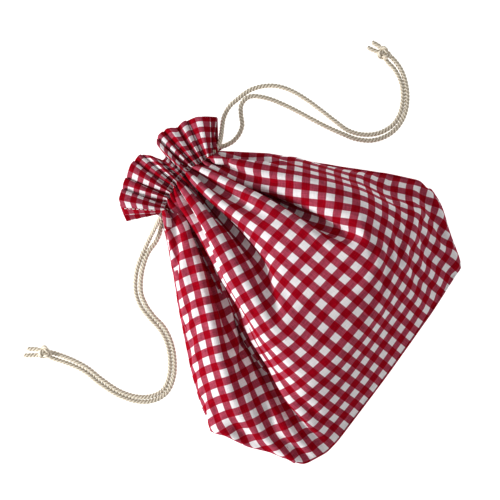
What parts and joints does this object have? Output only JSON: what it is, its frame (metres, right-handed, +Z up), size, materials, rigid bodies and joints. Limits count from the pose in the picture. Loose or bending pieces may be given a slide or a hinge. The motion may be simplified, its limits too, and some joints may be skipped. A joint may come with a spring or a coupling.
{
  "type": "drawstring gift pouch",
  "caption": "Check cotton pouch drawn closed by two twisted cords, lying on its back, with a pleated ruffle above the gathered neck and a boxed base folded inside.",
  "frame": {"origin": "centre of the pouch's footprint without its free cords, on the surface it lies on", "axes": "+Y towards the mouth and ruffle, +X to the right seen from above, +Z up out of the front panel"},
  "size_m": [0.3629, 0.2578, 0.0615],
  "materials": {
    "gingham_cotton": "matt plain-weave cotton in a red and white quarter-inch check",
    "cotton_cord": "undyed three-strand twisted cotton cord, slightly fuzzy",
    "sewing_thread": "crimson polyester sewing thread with a soft sheen"
  },
  "bodies": {
    "pouch": {"front_panel": "gingham_cotton", "back_panel": "gingham_cotton", "front_base_leaf": "gingham_cotton", "back_base_leaf": "gingham_cotton", "front_casing": "gingham_cotton", "back_casing": "gingham_cotton", "back_header": "gingham_cotton", "back_header_left_hem": "gingham_cotton", "back_header_right_hem": "gingham_cotton", "bottom_seam": "gingham_cotton", "left_corner_seam": "gingham_cotton", "right_corner_seam": "gingham_cotton", "left_side_seam": "gingham_cotton", "right_side_seam": "gingham_cotton", "front_casing_upper_stitching": "sewing_thread", "front_casing_lower_stitching": "sewing_thread", "back_casing_upper_stitching": "sewing_thread", "back_casing_lower_stitching": "sewing_thread", "back_header_left_hem_stitching": "sewing_thread", "back_header_right_hem_stitching": "sewing_thread"},
    "front_ruffle": {"front_header": "gingham_cotton", "front_header_left_hem": "gingham_cotton", "front_header_right_hem": "gingham_cotton", "front_header_left_hem_stitching": "sewing_thread", "front_header_right_hem_stitching": "sewing_thread"},
    "left_drawcord": {"left_cord_inner_loop": "cotton_cord", "left_cord_strand_a": "cotton_cord", "left_cord_strand_b": "cotton_cord", "left_cord_knot": "cotton_cord", "left_cord_end_a": "cotton_cord", "left_cord_end_b": "cotton_cord"},
    "right_drawcord": {"right_cord_inner_loop": "cotton_cord", "right_cord_strand_a": "cotton_cord", "right_cord_strand_b": "cotton_cord", "right_cord_knot": "cotton_cord", "right_cord_end_a": "cotton_cord", "right_cord_end_b": "cotton_cord"}
  },
  "joints": [
    {"name": "front_ruffle_lift", "type": "hinge", "parent": "pouch", "child": "front_ruffle", "pos_m": [0, 0.0962, 0.02], "axis": [1, 0, 0], "range_deg": [0, 60]},
    {"name": "left_cord_pull", "type": "slide", "parent": "pouch", "child": "left_drawcord", "axis": [-1, 0, 0], "range_m": [-0.003, 0.003]},
    {"name": "right_cord_pull", "type": "slide", "parent": "pouch", "child": "right_drawcord", "axis": [1, 0, 0], "range_m": [-0.003, 0.003]}
  ]
}
